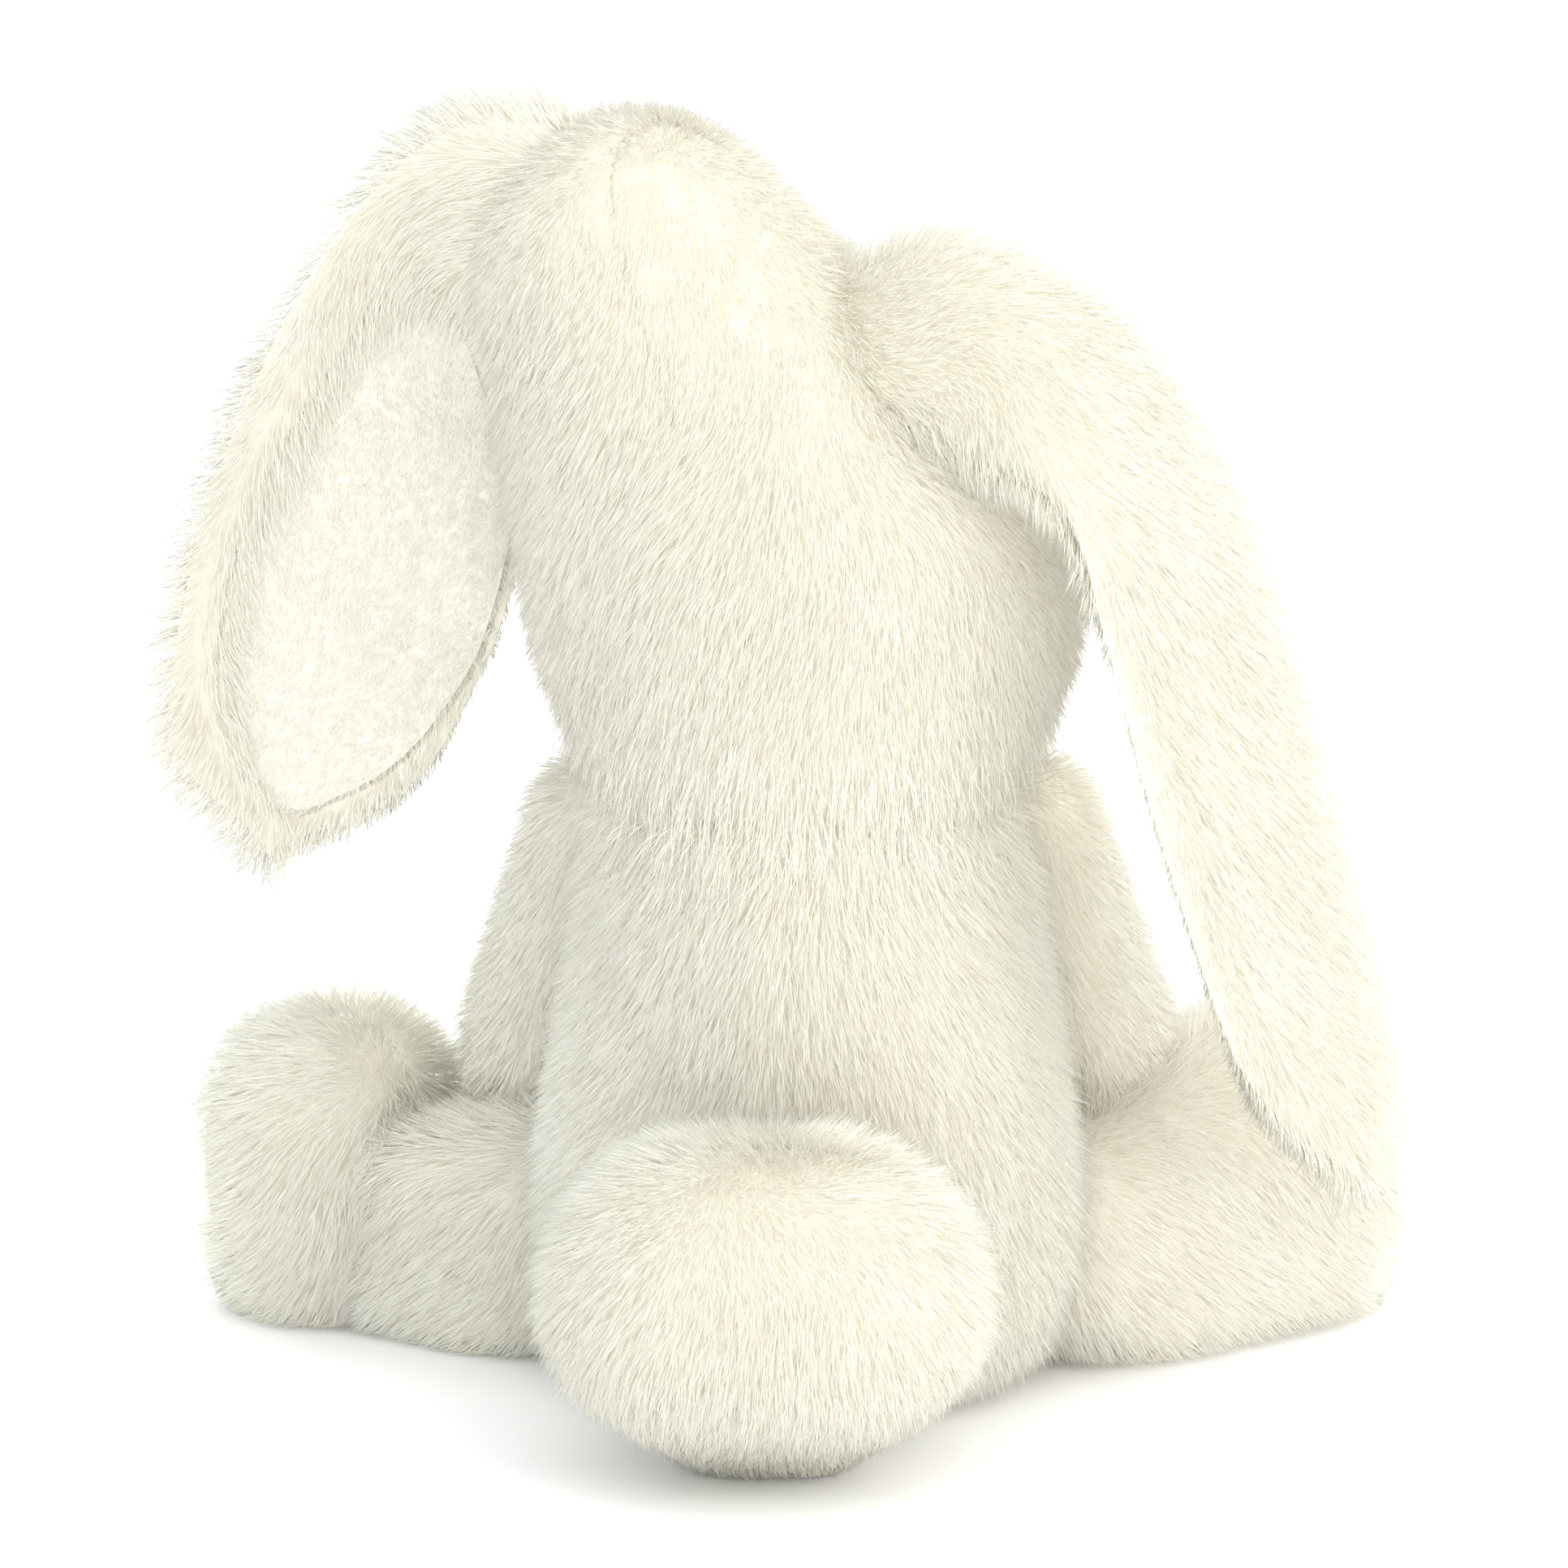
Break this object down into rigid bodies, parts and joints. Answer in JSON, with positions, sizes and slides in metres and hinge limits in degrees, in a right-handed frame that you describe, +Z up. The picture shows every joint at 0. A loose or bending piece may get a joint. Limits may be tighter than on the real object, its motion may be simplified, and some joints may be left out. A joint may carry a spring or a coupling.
{
  "type": "stuffed rabbit",
  "caption": "Seated lop-eared plush rabbit with long drooping ears, long ivory pile, a round tail, hinged arms, legs and ears and a turning, nodding head.",
  "frame": {"origin": "centre of the flat seat panel at floor level", "axes": "+Z up; the seated rabbit faces -Y, with its head turned towards -X; its left side is +X; the tail is at +Y"},
  "size_m": [0.2245, 0.1806, 0.2347],
  "materials": {
    "ivory_plush": "long soft pile",
    "ear_lining_velour": "short smooth pile",
    "sole_velour": "short smooth pile",
    "fibre_fill": "loose polyester fibre",
    "pellet_bag_cotton": "plain weave",
    "eye_plastic": "polished",
    "washer_plastic": "moulded",
    "face_thread": "satin stitch",
    "gather_thread": "twisted thread"
  },
  "bodies": {
    "torso": {"torso_back_left_panel": "ivory_plush", "torso_back_right_panel": "ivory_plush", "torso_belly_panel": "ivory_plush", "seat_base_panel": "ivory_plush", "torso_stuffing": "fibre_fill", "seat_pellet_pouch": "pellet_bag_cotton"},
    "neck": {"neck_gather_thread": "gather_thread", "neck_plug": "fibre_fill"},
    "head": {"head_left_panel": "ivory_plush", "head_right_panel": "ivory_plush", "head_centre_gusset": "ivory_plush", "muzzle_panel": "ivory_plush", "head_stuffing": "fibre_fill", "eye_left": "eye_plastic", "eye_right": "eye_plastic", "eye_washer_left": "washer_plastic", "eye_washer_right": "washer_plastic", "nose_stitching": "face_thread", "mouth_stitching": "face_thread"},
    "ear_left": {"ear_left_back": "ivory_plush", "ear_left_lining": "ear_lining_velour"},
    "ear_right": {"ear_right_back": "ivory_plush", "ear_right_lining": "ear_lining_velour"},
    "arm_left": {"arm_left_outer_panel": "ivory_plush", "arm_left_inner_panel": "ivory_plush", "arm_left_stuffing": "fibre_fill"},
    "arm_right": {"arm_right_outer_panel": "ivory_plush", "arm_right_inner_panel": "ivory_plush", "arm_right_stuffing": "fibre_fill"},
    "leg_left": {"leg_left_outer_panel": "ivory_plush", "leg_left_inner_panel": "ivory_plush", "sole_left": "sole_velour", "leg_left_stuffing": "fibre_fill", "foot_left_pellet_pouch": "pellet_bag_cotton"},
    "leg_right": {"leg_right_outer_panel": "ivory_plush", "leg_right_inner_panel": "ivory_plush", "sole_right": "sole_velour", "leg_right_stuffing": "fibre_fill", "foot_right_pellet_pouch": "pellet_bag_cotton"},
    "tail": {"tail_cover": "ivory_plush", "tail_gather_thread": "gather_thread", "tail_stuffing": "fibre_fill"}
  },
  "joints": [
    {"name": "head_turn", "type": "hinge", "parent": "torso", "child": "neck", "pos_m": [0, 0, 0.112], "axis": [0, 0, 1], "range_deg": [-12, 12], "stiffness_Nm_per_rad": 0.25},
    {"name": "head_nod", "type": "hinge", "parent": "neck", "child": "head", "pos_m": [0, 0, 0.112], "axis": [0.848, -0.53, 0], "range_deg": [-6, 6], "stiffness_Nm_per_rad": 1.2},
    {"name": "ear_left_swing", "type": "hinge", "parent": "head", "child": "ear_left", "pos_m": [0.063, -0.005, 0.203], "axis": [0.1298, -0.033, 0.991], "range_deg": [-20, 20]},
    {"name": "ear_right_swing", "type": "hinge", "parent": "head", "child": "ear_right", "pos_m": [-0.0234, 0.0187, 0.1924], "axis": [-0.5694, 0.3696, -0.7343], "range_deg": [0, 50]},
    {"name": "arm_left_swing", "type": "hinge", "parent": "torso", "child": "arm_left", "pos_m": [0.04, -0.027, 0.099], "axis": [-1, 0, 0], "range_deg": [0, 60], "stiffness_Nm_per_rad": 0.01},
    {"name": "arm_right_swing", "type": "hinge", "parent": "torso", "child": "arm_right", "pos_m": [-0.04, -0.027, 0.099], "axis": [-1, 0, 0], "range_deg": [0, 60], "stiffness_Nm_per_rad": 0.01},
    {"name": "leg_left_swing", "type": "hinge", "parent": "torso", "child": "leg_left", "pos_m": [0.058, -0.026, 0.018], "axis": [0, 0, -1], "range_deg": [-12, 25], "stiffness_Nm_per_rad": 0.03},
    {"name": "leg_right_swing", "type": "hinge", "parent": "torso", "child": "leg_right", "pos_m": [-0.058, -0.026, 0.018], "axis": [0, 0, 1], "range_deg": [-12, 25], "stiffness_Nm_per_rad": 0.03},
    {"name": "tail_wag", "type": "hinge", "parent": "torso", "child": "tail", "pos_m": [0.002, 0.05, 0.032], "axis": [0, 0, 1], "range_deg": [-8, 8], "stiffness_Nm_per_rad": 0.03}
  ]
}
